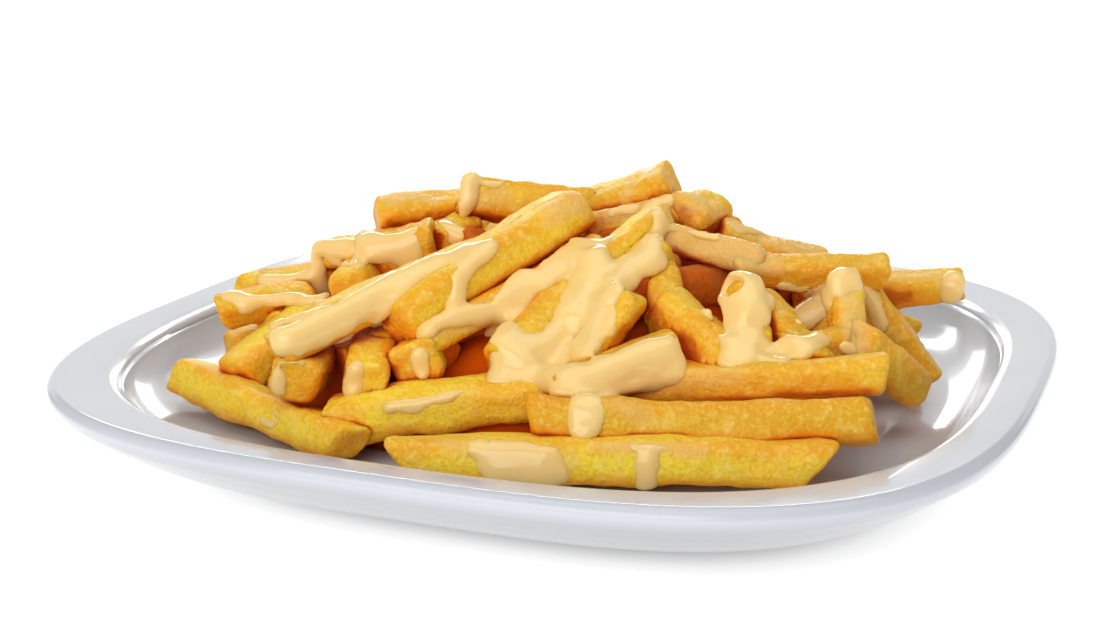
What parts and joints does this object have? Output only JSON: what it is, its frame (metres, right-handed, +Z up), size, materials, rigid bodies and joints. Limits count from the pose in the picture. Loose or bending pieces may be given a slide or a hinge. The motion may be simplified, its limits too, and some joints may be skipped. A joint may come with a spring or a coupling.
{
  "type": "cheese fries on a square plate",
  "caption": "Thick-cut fries heaped on a square white porcelain plate, with poured cheese sauce running over them.",
  "frame": {"origin": "middle of the plate's foot, on the surface that the plate stands on", "axes": "+Z up, X and Y along the plate's straight sides; the shown side of the heap faces between -Y and +X"},
  "size_m": [0.24, 0.24, 0.0686],
  "materials": {
    "porcelain": "gloss",
    "fries": "satin",
    "cheese_sauce": "gloss"
  },
  "bodies": {
    "root": {"plate": "porcelain", "fries_and_sauce": "fries"}
  },
  "joints": []
}
